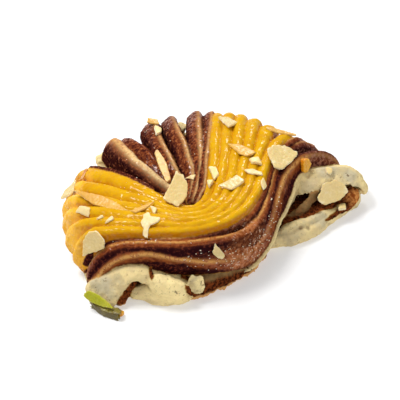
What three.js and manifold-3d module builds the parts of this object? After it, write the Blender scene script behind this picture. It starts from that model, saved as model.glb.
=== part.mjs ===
// A filled sweet pastry, baked as one piece: a bundle of thin dough strands laid side by side,
// bent round at the middle and fanned out at both ends, on a folded cream-coloured sheet.
// Sliced almonds, chopped nuts, coconut and candied peel lie loose on the crust.
// Millimetres, +Z up, the board is z = 0, the bend of the bundle faces -Y and +X.
import * as THREE from "three";
import Module from "manifold-3d";
import { mergeVertices } from "three/addons/utils/BufferGeometryUtils.js";

// ---- driving dimensions -------------------------------------------------------------------
const PASTRY_CENTRE = [0.8, 11.7];   // middle of the whole pastry's plan, moved to the origin
const STRAND_STEPS = 18;             // cross-sections along a long strand
const SHORT_STRAND_STEPS = 8;        // and along one that ends at the bend
const STRAND_DEPTH = 13;             // how far a strand reaches below its own crest
const TIP_DEPTH = 7;                 // the same at its ends, which curl over the edge
const BAND_DEPTH = 6;                // how far the outermost strand runs in under its neighbour
const YELLOW_STRANDS = 6;
const YELLOW_HALF_WIDTH = 2.1;       // at the bend
const YELLOW_FAN_HALF_WIDTH = 3.9;   // at the spread ends
const BROWN_HALF_WIDTH = 1.5;
const SHEET_THICKNESS = 6;           // the dough sheet that lies on the board
const SKIRT_HEIGHT = 9;              // dough under the ends of the strands
const HEART_HEIGHT = 19;             // dough under the middle of the bundle
const REST_GAP = 0.3;                // between the crust and what lies on it
const STEEPEST_REST = 0.35;          // rise over run of the steepest piece that lies on it

// ---- the strands: crest lines from the left end, round the bend, to the far end ---------------
const YELLOW_INNER = [
  [-54.5, 32, 6], [-53.5, 27, 15], [-46.5, 18, 21.5], [-39.5, 11, 24.5], [-32, 4, 26.3],
  [-25, -1.5, 26.5], [-18.5, -6, 26], [-12, -8.5, 25.5], [-7, -8, 25.5], [-3.5, -4.5, 26.5],
  [-1.5, 2, 27.8], [-0.5, 11.5, 28.2], [0, 25.5, 27.9], [-0.5, 43, 26], [-0.5, 59.5, 20.5],
  [-0.5, 65.5, 8],
];
const YELLOW_MIDDLE = [
  [-59.5, 9, 5], [-58.5, 6.5, 13.5], [-54, -2, 22], [-46.5, -7, 26], [-38.5, -12, 28.5],
  [-29.5, -16, 29.8], [-21.5, -18, 30.3], [-13, -20, 30.4], [-5.5, -19, 30.4], [0.5, -15.5, 30.4],
  [5, -8.5, 30.4], [8, 2, 30.2], [10, 15, 29.6], [12, 28, 28.8], [14.5, 51, 24.5], [15.5, 61, 8],
];
const YELLOW_OUTER = [
  [-55.5, -17, 5], [-54, -18.5, 13.5], [-51, -20.5, 20.5], [-47.5, -22.5, 25.5], [-41.5, -24.5, 28],
  [-32, -26, 29.3], [-21.5, -27, 29.8], [-12, -27, 30], [-3.5, -25, 30], [4, -21.5, 30],
  [11, -15, 30], [16, -4.5, 29.6], [19, 8, 29], [22.5, 22, 28.4], [28.5, 38, 26], [35.5, 49, 12],
];
const BROWN_UPPER = [
  [-52.5, -21.5, 5], [-50.5, -23.2, 12.5], [-47, -24.5, 19.3], [-41, -26.2, 24], [-33, -27.6, 25.9],
  [-27, -28.8, 26.3], [-16.5, -29.8, 26.6], [-10, -28.9, 26.8], [-6, -27.5, 27], [1, -24.4, 27.2],
  [7.5, -20.6, 27.3], [13, -16, 27.3], [16.5, -10.3, 27.3], [18.8, -3.3, 27.1], [20.8, 4.5, 27],
  [22.2, 12, 27], [25, 21.5, 26.7], [28.5, 29, 25.7], [32.5, 35, 24.3], [36.5, 40, 21.5],
  [40, 45, 14], [41, 46.5, 6],
];
const BROWN_MIDDLE = [
  [-50.5, -27.5, 4], [-48.5, -28.2, 12.3], [-45.5, -29, 18.3], [-39, -29.6, 23.4],
  [-31.5, -30.3, 25.7], [-23, -31, 26.1], [-14.5, -31.5, 26.6], [-6, -29.8, 26.1], [0.5, -28, 25.7],
  [7, -25.5, 25.4], [13, -21, 25], [17, -15.5, 25], [19.8, -9, 25], [21.5, -2.2, 25],
  [23.4, 7.5, 25], [25.3, 15.5, 25], [30.5, 30, 24], [34.5, 34.8, 22.5], [38.5, 38.5, 20.5],
  [42.5, 41, 16.5], [45.5, 43, 10], [46.5, 44, 5],
];
// the outermost strand: its upper edge, the ridge below that and its lower rim
const OUTER_BAND = [
  { top: [-48, -33, 9], ridge: [-47, -33.8, 8], rim: [-47, -33, 6] },
  { top: [-45.5, -32, 12], ridge: [-44.5, -33, 11], rim: [-44, -32.5, 8.5] },
  { top: [-42, -32, 16.6], ridge: [-41.5, -33, 15.2], rim: [-40, -31.5, 11] },
  { top: [-36.5, -32, 21], ridge: [-35.5, -33, 19.9], rim: [-34.5, -31.5, 14] },
  { top: [-28, -32.2, 23.4], ridge: [-27, -33.2, 22.2], rim: [-27.5, -31.7, 14.5] },
  { top: [-20.5, -32.2, 23], ridge: [-21, -33.2, 21.4], rim: [-21.5, -31.5, 12.5] },
  { top: [-13.5, -32.4, 21.7], ridge: [-14.5, -33.4, 20], rim: [-16, -32, 11] },
  { top: [-6, -31.8, 20.8], ridge: [-6.5, -33, 18.3], rim: [-8, -31, 10] },
  { top: [0, -30.5, 20.2], ridge: [0.5, -31.8, 17.2], rim: [1, -30, 10] },
  { top: [5.5, -28.5, 20], ridge: [7, -29.2, 15.6], rim: [9, -26.8, 8.2] },
  { top: [10, -24.5, 20], ridge: [13, -24.8, 14.8], rim: [15, -22, 7] },
  { top: [14.5, -19, 20], ridge: [17, -19.5, 14.5], rim: [19.5, -16.5, 7.5] },
  { top: [18, -13.5, 20.8], ridge: [20.3, -14.5, 16], rim: [23, -10.5, 9.5] },
  { top: [20.5, -7.5, 21.8], ridge: [22.5, -9, 18], rim: [25, -4, 12] },
  { top: [22.5, -0.5, 22.8], ridge: [24.5, -2.5, 20.5], rim: [28, 2, 13] },
  { top: [25, 6, 24], ridge: [26.5, 5, 22.8], rim: [30, 6.5, 14.5] },
  { top: [27.5, 13.5, 25], ridge: [28.8, 12, 24.2], rim: [32, 12, 16] },
  { top: [31, 19.5, 25.3], ridge: [32.3, 18.3, 24.3], rim: [33.5, 17.5, 17] },
  { top: [35, 24, 25], ridge: [36, 23, 24], rim: [37, 22, 18] },
  { top: [39.5, 27.5, 24], ridge: [40.3, 26.5, 23], rim: [41, 26, 17] },
  { top: [44, 30.5, 22], ridge: [44.4, 29.4, 21], rim: [45.5, 28.5, 15.5] },
  { top: [48.5, 32.5, 19], ridge: [48.5, 31.3, 18], rim: [49, 31, 13.5] },
  { top: [51.5, 34, 15], ridge: [51.5, 33, 14], rim: [52, 33, 10.5] },
  { top: [53.5, 35.5, 10], ridge: [53.7, 34.5, 9], rim: [53.5, 35, 6] },
];
// Brown strands inside the bend: each runs from its tip in to the crease.
const INNER_BROWNS = [
  { halfWidth: 3.1, crest: [
    [-47, 47, 8], [-44.5, 43.5, 16.5], [-41.8, 39, 21.5], [-37.8, 29.5, 25], [-33, 20.5, 26.3],
    [-27.8, 14.5, 25.7], [-22.7, 10.5, 23.7], [-17.6, 7.5, 21.5], [-13.6, 3, 20],
  ] },
  { halfWidth: 4.6, crest: [
    [-40, 50, 8], [-38.6, 47.5, 16], [-35.2, 40.5, 22], [-29.9, 32.3, 25], [-25.8, 25, 25],
    [-22.4, 19, 23.5], [-19.2, 14.2, 21.7], [-15.4, 8.5, 19.5],
  ] },
  { halfWidth: 3.2, crest: [
    [-29.5, 63, 10], [-27.5, 55.5, 19.5], [-25.2, 40, 23.5], [-21.8, 28, 25.2], [-18, 19.5, 24.6],
    [-14.9, 14, 22.5], [-12.5, 7, 20],
  ] },
  { halfWidth: 3.1, crest: [
    [-20, 67, 10], [-19.3, 61, 19.5], [-16.6, 43.5, 24.3], [-13.6, 31.5, 25.8], [-11.6, 23.3, 25],
    [-10, 17, 23.4], [-9.6, 11, 21.7], [-10.4, 3, 20],
  ] },
  { halfWidth: 3.1, crest: [
    [-9.6, 69, 10], [-9.2, 61.5, 20], [-8.5, 44.5, 24.7], [-7.3, 30, 26.3], [-6.5, 20, 25.4],
    [-6.8, 13.7, 23.4], [-8, 7.5, 21.7], [-9.6, 0, 20],
  ] },
  { halfWidth: 2, crest: [
    [-3.4, 67.5, 10], [-3.4, 61, 20], [-3.4, 44, 25], [-3.6, 29, 26.7], [-3.8, 19, 26.2],
    [-3.9, 11, 25.3], [-5, 5, 23.7], [-7.7, -2, 21],
  ] },
];

// ---- the dough under them: plan outlines, anticlockwise ---------------------------------------
const SHEET_OUTLINE = [
  [-44, -36], [-39, -38.5], [-36, -36], [-33, -34.5], [-28.5, -36], [-23.5, -39], [-16, -39.3],
  [-10.5, -37], [-5, -32.5], [3, -26], [11, -20.5], [18, -12], [22.5, -5.8], [28, -4], [32, -2.5],
  [37.5, 0.5], [43.5, 5], [51, 12], [56.5, 16.5], [61, 21], [61, 26], [57, 34], [51, 42], [42, 47],
  [34, 50], [24, 56], [13, 60], [2, 63], [-8, 67], [-18, 62], [-26, 58], [-27, 46], [-26, 34],
  [-33, 38], [-40, 45], [-48, 44], [-53, 34], [-58, 18], [-59, 4], [-56, -8], [-52, -20],
  [-49, -30],
];
const SKIRT_OUTLINE = [
  [-43, -32], [-30, -33], [-15, -34], [-4, -32], [5, -26], [13, -20], [19, -10], [22, -5], [25, 3],
  [31, 15], [39, 26], [49, 36], [43, 42], [33, 45], [22, 52], [10, 57], [0, 59], [-8, 61],
  [-17, 57], [-23, 51], [-23, 42], [-24, 31], [-31, 34], [-39, 39], [-44, 37], [-50, 28], [-54, 16],
  [-55, 4], [-52, -8], [-48, -20], [-46, -28],
];
const HEART_OUTLINE = [
  [-40, -24], [-28, -28], [-15, -29], [-2, -27], [8, -20], [15, -11], [20, 2], [25, 15], [30, 26],
  [26, 34], [18, 40], [8, 44], [-2, 45], [-12, 42], [-17, 36], [-19, 24], [-22, 17], [-32, 22],
  [-38, 17], [-44, 6], [-45, -6], [-43, -17],
];

// ---- the cream folds that show below the outer strand: upper and lower edge of each -----------
const FOLD_DEPTH = 9;                // how far a fold runs in under the strands
const RIGHT_FOLD_FALL = 5;           // how much lower the roof of the right one is there
const SCRAP_FALL = 8;                // and that of the torn scrap
const LEFT_FOLD = [
  { top: [-49.5, -32, 6], bottom: [-49, -33.5, 1] },
  { top: [-47.5, -33.8, 9], bottom: [-46.5, -36.5, 0.3] },
  { top: [-43.5, -34.2, 10.8], bottom: [-42.5, -38.8, 0.3] },
  { top: [-39, -34, 13], bottom: [-39, -39.6, 0.8] },
  { top: [-36, -34.2, 14.8], bottom: [-36.2, -38.2, 4.5] },
  { top: [-33, -34.4, 16], bottom: [-33.8, -37.4, 8.7] },
  { top: [-29.5, -34.6, 16.4], bottom: [-31, -37, 11.5] },
  { top: [-26, -34.6, 15.6], bottom: [-28, -37, 10.6] },
  { top: [-23, -34.2, 13.4], bottom: [-24.5, -35.6, 8] },
  { top: [-18.5, -33.8, 10.8], bottom: [-18.5, -34.8, 4.5] },
  { top: [-14.5, -33.8, 9.4], bottom: [-14.7, -35, 3.5] },
  { top: [-10, -34, 8], bottom: [-10, -35, 2.5] }, { top: [-7.5, -34, 7], bottom: [-7, -35, 3] },
];
const RIGHT_FOLD = [
  { top: [28.5, 8, 15.5], bottom: [27.5, 5, 6] }, { top: [33.5, 17, 17], bottom: [32, 14, 8.5] },
  { top: [37, 21.3, 18.3], bottom: [34.3, 14, 11] },
  { top: [41, 22.5, 19], bottom: [38, 14, 12.2] },
  { top: [45.5, 23.3, 19], bottom: [42.5, 15, 12.8] },
  { top: [49.5, 24.5, 18.5], bottom: [46.5, 16.5, 12.8] },
  { top: [53, 25.6, 18], bottom: [50.5, 16.8, 12.8] },
  { top: [57, 26.5, 16.8], bottom: [54.8, 17.5, 13] },
  { top: [60.3, 25.5, 14.5], bottom: [58.8, 19, 12] },
  { top: [62.2, 24.5, 12], bottom: [61.3, 20, 9.5] },
  { top: [63, 26, 9.5], bottom: [62.8, 22.5, 6.5] }, { top: [62.3, 31, 8], bottom: [63, 27.5, 2] },
];
// the brown filling that shows under the bend
const UNDER_BAND = [
  { top: [-9, -34.5, 9], bottom: [-9, -35.5, 0.4] },
  { top: [-4, -32.8, 9.3], bottom: [-4, -34, 0.4] },
  { top: [1, -30.2, 9], bottom: [1, -31.3, 0.4] },
  { top: [5.5, -27.6, 8], bottom: [5.5, -28, 0.4] },
  { top: [10, -24.6, 7], bottom: [10, -24.2, 0.4] },
  { top: [14, -21.6, 6.5], bottom: [14, -20.6, 0.4] },
  { top: [17, -18, 6.8], bottom: [17, -16.6, 0.4] },
  { top: [20, -13.5, 8], bottom: [20, -11, 0.4] }, { top: [22, -9, 9], bottom: [22, -6.5, 0.4] },
];
// a torn scrap of the sheet that stands against the front
const SCRAP = [
  { top: [-11, -35.6, 9], bottom: [-10.6, -36.4, 5.5] },
  { top: [-9.6, -35.4, 12.2], bottom: [-9.2, -36.6, 4.2] },
  { top: [-7.4, -35, 11.4], bottom: [-7, -36.4, 3.6] },
  { top: [-5.6, -34.6, 12], bottom: [-5.4, -35.9, 4] },
  { top: [-4.6, -34, 9], bottom: [-4.4, -35, 5] },
];
// swellings: two make the plump fold at the front, one is the crumbly filling at the right end
const LUMPS = [
  { centre: [-22, -36, 10.4], radii: [5.2, 3.2, 4.2] },
  { centre: [-14, -36.6, 7.2], radii: [6.5, 3.4, 4.2] },
  { centre: [55, 21.2, 8.4], radii: [6, 4, 4.2] },
];

// ---- what lies on it ------------------------------------------------------------------------
// An outline of [x, y] points is the piece seen from above, and it drops on to the crust. One of
// [x, y, z] points stands or leans where it is written. Each is the face towards the crust.
const TOPPINGS = {
  almond_flake: { colour: 0xe9d6a6, thickness: 1.1, outlines: [
    [
      [-15.4, 5.1, 30.6], [-12.7, 4.2, 29.8], [-10.7, 0.5, 28.2], [-11, -4.8, 26.4],
      [-14.1, -9.2, 25.5], [-17.2, -8.4, 26.3], [-20.3, -6.7, 27.5], [-17.7, -1.4, 28.7],
    ],
    [[2, 48], [6, 48], [10, 44], [6, 38]],
    [[2, -2], [9, 4], [12, 0], [7, -5]],
    [
      [21.4, 22, 29.3], [24, 24.5, 28.7], [28.5, 26.1, 27.2], [33.4, 23.9, 25.3],
      [31.1, 18.3, 25.5], [26.9, 12.6, 26.5], [24, 12.6, 27.5], [22.5, 16.7, 28.4],
    ],
    [
      [-50, -25, 22], [-48, -25, 26.5], [-45, -26, 28], [-41.5, -28.5, 25], [-42, -29, 22],
      [-50, -27, 16.5],
    ],
    [
      [42.5, 13.5, 12], [44.5, 17, 15.5], [49.5, 18.5, 16.2], [53, 18, 14.2],
      [54.5, 16.5, 12.2], [52, 14, 10], [47, 12, 9.4], [43.5, 11.5, 9.4],
    ],
    [[0, -30, 25.5], [2, -30, 22.5], [4, -30.4, 19.3], [3, -30.7, 18], [1, -31, 18.8], [-1, -31, 21.4]],
    [[-61.5, 10, 12.8], [-60, 14.5, 13.4], [-55.5, 17, 16.6], [-57, 8.5, 16.2]],
  ] },
  toasted_flake: { colour: 0xd9a765, thickness: 0.9, outlines: [
    [[6, 26], [11, 25], [17, 20], [13, 17], [10, 19]],
    [[21.5, 38.5], [24, 40.3], [29, 40], [33.5, 38.6], [34, 37.4], [28, 36.8], [22.5, 37.2]],
    [[-56, 3], [-52, 0], [-44, -5], [-39, -9], [-33, -15], [-40, -13], [-47, -8]],
    [[-32, -17], [-23, -10], [-25, -14], [-30, -19]],
    [[-28, 49], [-28, 53], [-24, 54], [-23, 50]],
  ] },
  almond_sliver: { colour: 0xdcae6a, thickness: 2.2, outlines: [
    [[-24, 26], [-22.5, 27], [-19, 20], [-17, 12], [-19, 11], [-21.5, 17]],
    [[-55, 18], [-53, 24], [-51.5, 23], [-53.5, 17]],
  ] },
  nut_chip: { colour: 0xefe2c4, thickness: 1.6, outlines: [
    [[18, 1], [19, 4], [20.5, 1], [19, -2]],
    [[-2, 11], [1, 11], [2, 6], [0, 4]],
    [[-3, 3], [0, 3], [-2, -1]],
    [[51, 13.8], [54, 14.3], [54, 11.5], [51, 11]],
    [[45.5, 23], [48.5, 23], [48, 20.5], [46, 20.5]],
    [[-25, 45], [-22, 45], [-22, 41], [-24, 39]],
    [[14, 15], [18, 16], [19, 12.5], [15, 12]],
  ] },
  coconut_shred: { colour: 0xf6efe0, thickness: 0.9, outlines: [
    [[12, 8], [15, 9], [19, 7.5], [19, 5.5], [14, 6]],
    [
      [-28, -24], [-26.5, -19.6], [-25, -18.6], [-24, -21.5], [-21, -22],
      [-21.3, -24.4], [-24.8, -26], [-25.2, -29.4], [-26.7, -29],
    ],
    [[-25, -14], [-22, -15.5], [-23, -19]],
    [[-12, 14], [-7, 14], [-8, 11.5]],
    [[-54, -9], [-52.5, -7], [-48, -10], [-49, -13]],
    [[-45.5, -19.5], [-43, -16.5], [-42.5, -19]],
    [[-42, -22], [-39, -18.5], [-38.5, -21.5]],
  ] },
  candied_peel: { colour: 0xe08a1c, thickness: 2.4, outlines: [
    [[35, 22, 25], [37.5, 23.5, 24], [38.5, 23.5, 21.5], [37, 21.5, 19], [35.5, 20.2, 19.5]],
    [[-36.8, -42.2, 0.2], [-34.6, -43.5, 0.2], [-35.5, -45, 0.2], [-36.8, -44.8, 0.2]],
  ] },
  pistachio: { colour: 0x9aa03c, thickness: 3.2, outlines: [
    [
      [-47.6, -39, 0.2], [-44.5, -39.6, 0.2], [-40.5, -41, 0.2], [-37.2, -42.5, 0.2],
      [-37.2, -45.3, 0.2], [-39.2, -45.8, 0.2], [-42.6, -44.6, 0.2], [-45.4, -42, 0.2],
    ],
  ] },
  pistachio_sliver: { colour: 0xb9b52e, thickness: 1.3, outlines: [
    [
      [-50.2, -38.4, 6.4], [-47.8, -37.9, 8.2], [-44, -39.9, 7.2], [-40.5, -41.8, 5.6],
      [-38.8, -43.3, 4], [-43.3, -42.2, 3.8], [-47.6, -40, 4.2],
    ],
  ] },
};
const CRUST_COLOUR = 0xb9782c;

// ---- geometry helpers -----------------------------------------------------------------------
const wasm = await Module();
wasm.setup();

function toSolid(geometry) {
  const bare = geometry.clone();
  bare.deleteAttribute("normal");
  bare.deleteAttribute("uv");
  const merged = mergeVertices(bare, 1e-4);
  const mesh = new wasm.Mesh({
    numProp: 3,
    vertProperties: new Float32Array(merged.attributes.position.array),
    triVerts: new Uint32Array(merged.index.array),
  });
  return new wasm.Manifold(mesh);
}

function toGeometry(solid) {
  const mesh = solid.getMesh();
  const geometry = new THREE.BufferGeometry();
  const corners = new Float32Array(mesh.vertProperties);
  geometry.setAttribute("position", new THREE.BufferAttribute(corners, 3));
  geometry.setIndex(new THREE.BufferAttribute(new Uint32Array(mesh.triVerts), 1));
  geometry.computeVertexNormals();
  return geometry;
}

// Joins rings of equal length into one closed skin; the two end rings are convex.
function loft(rings) {
  const side = rings[0].length;
  const index = [];
  for (let ring = 0; ring + 1 < rings.length; ring++) {
    for (let i = 0; i < side; i++) {
      const a = ring * side + i;
      const b = ring * side + (i + 1) % side;
      index.push(a, b + side, b, a, a + side, b + side);
    }
  }
  const last = (rings.length - 1) * side;
  for (let i = 1; i + 1 < side; i++) {
    index.push(0, i, i + 1, last, last + i + 1, last + i);
  }
  const geometry = new THREE.BufferGeometry().setFromPoints(rings.flat());
  geometry.setIndex(index);
  return geometry;
}

const toVectors = (points) => points.map((p) => new THREE.Vector3(...p));
const smoothLine = (points) => new THREE.CatmullRomCurve3(toVectors(points), false, "centripetal");

// One strand: a wall of dough with a round crest, following its crest line.
function strand(crest, halfWidth, steps, fanHalfWidth = halfWidth) {
  const line = smoothLine(crest);
  const rings = [];
  for (let i = 0; i <= steps; i++) {
    const reach = THREE.MathUtils.lerp(TIP_DEPTH, STRAND_DEPTH, Math.min(1, i / 4, (steps - i) / 4));
    const half = THREE.MathUtils.lerp(fanHalfWidth, halfWidth, Math.sin(Math.PI * i / steps));
    const shoulder = 0.8 * half;
    const section = [[1, -reach], [0.85, -shoulder], [0, 0], [-0.85, -shoulder], [-1, -reach]];
    const at = line.getPoint(i / steps);
    const along = line.getTangent(i / steps).setZ(0).normalize();
    const across = new THREE.Vector3(along.y, -along.x, 0);
    rings.push(section.map(([side, drop]) => new THREE.Vector3(
      at.x + across.x * side * half,
      at.y + across.y * side * half,
      Math.max(at.z + drop, 1),
    )));
  }
  return loft(rings);
}

// A line between the three yellow guides: 0 is the inner one, 0.5 the middle, 1 the outer.
function yellowCrest(place) {
  const inner = (1 - place) * (1 - 2 * place);
  const middle = 4 * place * (1 - place);
  const outer = place * (2 * place - 1);
  return YELLOW_INNER.map((point, i) => point.map((value, axis) =>
    inner * value + middle * YELLOW_MIDDLE[i][axis] + outer * YELLOW_OUTER[i][axis]));
}

function slab(outline, height) {
  const shape = new THREE.Shape(outline.map(([x, y]) => new THREE.Vector2(x, y)));
  return new THREE.ExtrudeGeometry(shape, { depth: height, bevelEnabled: false });
}

// The level direction, of the given length, that points inwards from a line of edge points.
function inwards(edges, i, length) {
  const before = edges[Math.max(i - 1, 0)].top;
  const after = edges[Math.min(i + 1, edges.length - 1)].top;
  return new THREE.Vector3(before[1] - after[1], after[0] - before[0], 0).setLength(length);
}

// The outermost strand: its face bulges over the ridge and it runs in under its neighbour.
function band(edges) {
  return loft(edges.map(({ top, ridge, rim }, i) => {
    const inner = inwards(edges, i, BAND_DEPTH);
    const [high, middle, low] = toVectors([top, ridge, rim]);
    return [high, middle, low, low.clone().add(inner), high.clone().add(inner).setZ(low.z + 1)].reverse();
  }));
}

// A fold of the sheet: its outer face swells between its two edges, it runs in under the strands,
// and its roof falls away inwards by the given height.
function fold(edges, fall = 0) {
  const rings = edges.map(({ top, bottom }, i) => {
    const inner = inwards(edges, i, FOLD_DEPTH);
    const high = new THREE.Vector3(...top);
    const low = new THREE.Vector3(...bottom);
    const swell = high.clone().lerp(low, 0.55).addScaledVector(inner, -1.6 / FOLD_DEPTH);
    const roof = high.clone().add(inner);
    roof.z -= fall;
    return [high, swell, low, low.clone().add(inner), roof].reverse();
  });
  return loft(rings);
}

// ---- the baked pastry, one solid ------------------------------------------------------------------
function pastrySolid() {
  const pieces = [];
  for (let i = 0; i < YELLOW_STRANDS; i++) {
    const crest = yellowCrest(i / (YELLOW_STRANDS - 1));
    pieces.push(strand(crest, YELLOW_HALF_WIDTH, STRAND_STEPS, YELLOW_FAN_HALF_WIDTH));
  }
  pieces.push(strand(BROWN_UPPER, BROWN_HALF_WIDTH, STRAND_STEPS));
  pieces.push(strand(BROWN_MIDDLE, BROWN_HALF_WIDTH, STRAND_STEPS));
  pieces.push(band(OUTER_BAND));
  for (const { crest, halfWidth } of INNER_BROWNS) {
    pieces.push(strand(crest, halfWidth, SHORT_STRAND_STEPS));
  }
  pieces.push(slab(SHEET_OUTLINE, SHEET_THICKNESS));
  pieces.push(slab(SKIRT_OUTLINE, SKIRT_HEIGHT));
  pieces.push(slab(HEART_OUTLINE, HEART_HEIGHT));
  pieces.push(fold(LEFT_FOLD), fold(RIGHT_FOLD, RIGHT_FOLD_FALL));
  pieces.push(fold(UNDER_BAND), fold(SCRAP, SCRAP_FALL));
  for (const { centre, radii } of LUMPS) {
    pieces.push(new THREE.SphereGeometry(1, 10, 6).scale(...radii).translate(...centre));
  }
  // Strands that meet over the sheet can shut in a small pocket: dough fills it, so only the
  // outer shell is kept.
  const shells = wasm.Manifold.union(pieces.map(toSolid)).decompose();
  return shells.reduce((largest, shell) => (shell.volume() > largest.volume() ? shell : largest));
}

const pastry = new THREE.Mesh(
  toGeometry(pastrySolid()),
  new THREE.MeshStandardMaterial({ color: CRUST_COLOUR, roughness: 0.55, metalness: 0 }),
);
pastry.name = "pastry";

// ---- toppings ---------------------------------------------------------------------------------
const SAMPLE_STEP = 0.8;             // spacing of the feelers that find the crust under a piece
const feeler = new THREE.Raycaster();
const DOWN = new THREE.Vector3(0, 0, -1);

function crustHeight(x, y) {
  feeler.set(new THREE.Vector3(x, y, 100), DOWN);
  const touched = feeler.intersectObject(pastry);
  return touched.length ? touched[0].point.z : null;
}

function isInside([x, y], outline) {
  let inside = false;
  outline.forEach(([x1, y1], i) => {
    const [x2, y2] = outline[(i + 1) % outline.length];
    if ((y1 > y) !== (y2 > y) && x < x1 + (x2 - x1) * (y - y1) / (y2 - y1)) inside = !inside;
  });
  return inside;
}

function crustUnder(outline) {
  const xs = outline.map((p) => p[0]);
  const ys = outline.map((p) => p[1]);
  const places = [...outline];
  for (let x = Math.min(...xs); x <= Math.max(...xs); x += SAMPLE_STEP) {
    for (let y = Math.min(...ys); y <= Math.max(...ys); y += SAMPLE_STEP) {
      if (isInside([x, y], outline)) places.push([x, y]);
    }
  }
  return places.map(([x, y]) => [x, y, crustHeight(x, y)]).filter((p) => p[2] !== null);
}

// The best plane z = a x + b y + c through the points, by least squares.
function planeThrough(points) {
  const sums = new THREE.Matrix3().set(0, 0, 0, 0, 0, 0, 0, 0, 0);
  const right = new THREE.Vector3();
  for (const [x, y, z] of points) {
    [x * x, x * y, x, x * y, y * y, y, x, y, 1].forEach((v, i) => { sums.elements[i] += v; });
    right.add(new THREE.Vector3(x * z, y * z, z));
  }
  return right.applyMatrix3(sums.invert());
}

function droppedOnCrust(outline) {
  const below = crustUnder(outline);
  const plane = planeThrough(below);
  const calm = Math.min(1, STEEPEST_REST / Math.hypot(plane.x, plane.y));
  const height = ([x, y]) => calm * (plane.x * x + plane.y * y);
  const lift = REST_GAP + Math.max(...below.map((p) => p[2] - height(p)));
  return outline.map((p) => [...p, height(p) + lift]);
}

// A flat slice whose lower face has the given corners, turned and placed where they lie.
function slice(corners, thickness, material) {
  const points = toVectors(corners);
  const centre = points.reduce((sum, p) => sum.add(p), new THREE.Vector3()).divideScalar(points.length);
  const normal = new THREE.Vector3();
  points.forEach((p, i) => {
    const next = points[(i + 1) % points.length];
    normal.add(p.clone().sub(centre).cross(next.clone().sub(centre)));
  });
  if (normal.z < 0) normal.negate();
  const turn = new THREE.Quaternion().setFromUnitVectors(new THREE.Vector3(0, 0, 1), normal.normalize());
  const unturn = turn.clone().invert();
  const flat = points.map((p) => p.clone().sub(centre).applyQuaternion(unturn));
  const shape = new THREE.Shape(flat.map((p) => new THREE.Vector2(p.x, p.y)));
  const body = new THREE.ExtrudeGeometry(shape, { depth: thickness, bevelEnabled: false });
  const piece = new THREE.Mesh(body, material);
  piece.position.copy(centre);
  piece.quaternion.copy(turn);
  return piece;
}

function toppingPieces(kind, { colour, thickness, outlines }) {
  return outlines.map((outline, i) => {
    const material = new THREE.MeshStandardMaterial({ color: colour, roughness: 0.5, metalness: 0 });
    const corners = outline[0].length === 2 ? droppedOnCrust(outline) : outline;
    const piece = slice(corners, thickness, material);
    piece.name = outlines.length > 1 ? `${kind}_${i + 1}` : kind;
    return piece;
  });
}

const group = new THREE.Group();
group.position.set(-PASTRY_CENTRE[0], -PASTRY_CENTRE[1], 0);
group.add(pastry);
for (const [kind, spec] of Object.entries(TOPPINGS)) {
  group.add(...toppingPieces(kind, spec));
}

export default group;
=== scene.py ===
"""Looks of a filled pastry: dough strands bent round and fanned out, with nuts and peel on the crust.

Lengths are millimetres in the part's own source frame until a mesh is made, which is in metres.
"""
import math
import random
from collections import namedtuple

import bpy
import numpy as np
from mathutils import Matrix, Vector, noise
from mathutils.bvhtree import BVHTree
from numpy.linalg import norm


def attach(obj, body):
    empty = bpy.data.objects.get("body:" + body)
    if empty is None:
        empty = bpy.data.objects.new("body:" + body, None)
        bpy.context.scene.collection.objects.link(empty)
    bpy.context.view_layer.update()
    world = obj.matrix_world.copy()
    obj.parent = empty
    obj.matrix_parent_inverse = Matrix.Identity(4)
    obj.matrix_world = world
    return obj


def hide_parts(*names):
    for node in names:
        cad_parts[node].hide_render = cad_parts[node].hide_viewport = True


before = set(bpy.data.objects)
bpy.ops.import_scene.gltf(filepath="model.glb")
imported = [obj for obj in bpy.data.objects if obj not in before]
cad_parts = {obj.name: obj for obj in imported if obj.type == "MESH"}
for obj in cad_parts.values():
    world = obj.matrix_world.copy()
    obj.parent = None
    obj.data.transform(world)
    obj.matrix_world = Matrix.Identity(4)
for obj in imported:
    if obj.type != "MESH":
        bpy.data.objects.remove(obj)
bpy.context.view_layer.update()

MM = 0.001
PASTRY_CENTRE = np.array([0.8, 11.7, 0.0])  # as in the CAD source: this point is moved to the origin
YELLOW, BROWN, CREAM, FILLING = range(4)  # what a stretch of the surface is made of

# ---- guide lines ----
# each line runs from the left fan, round the elbow at the front right, to the right fan
YELLOW_INNER = [
    (-54.5, 32, 6), (-53.5, 27, 15), (-46.5, 18, 21.5), (-39.5, 11, 24.5), (-32, 4, 26.3),
    (-25, -1.5, 26.5), (-18.5, -6, 26), (-12, -8.5, 25.5), (-7, -8, 25.5), (-3.5, -4.5, 26.5),
    (-1.5, 2, 27.8), (-0.5, 11.5, 28.2), (0.5, 25.5, 27.9), (1.2, 43, 26), (2, 59, 20.5), (2.2, 65, 8),
]
YELLOW_MIDDLE = [
    (-59.5, 9, 5), (-58.5, 6.5, 13.5), (-54, -2, 22), (-46.5, -7, 26), (-38.5, -12, 28.5),
    (-29.5, -16, 29.8), (-21.5, -18, 30.3), (-13, -20, 30.4), (-5.5, -19, 30.4), (0.5, -15.5, 30.4),
    (5, -8.5, 30.4), (8, 2, 30.2), (10, 15, 29.6), (12, 28, 28.8), (14.5, 51, 24.5), (15.5, 61, 8),
]
YELLOW_OUTER = [
    (-55.5, -17, 5), (-54, -18.5, 13.5), (-51, -20.5, 20.5), (-47.5, -22.5, 25.5), (-41.5, -24.5, 28),
    (-32, -26, 29.3), (-21.5, -27, 29.8), (-12, -27, 30), (-3.5, -25, 30), (4, -21.5, 30),
    (11, -15, 30), (16, -4.5, 29.6), (19, 8, 29), (22.7, 22, 28.4), (29.3, 37, 26), (37.2, 46.5, 13.5),
]
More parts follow.
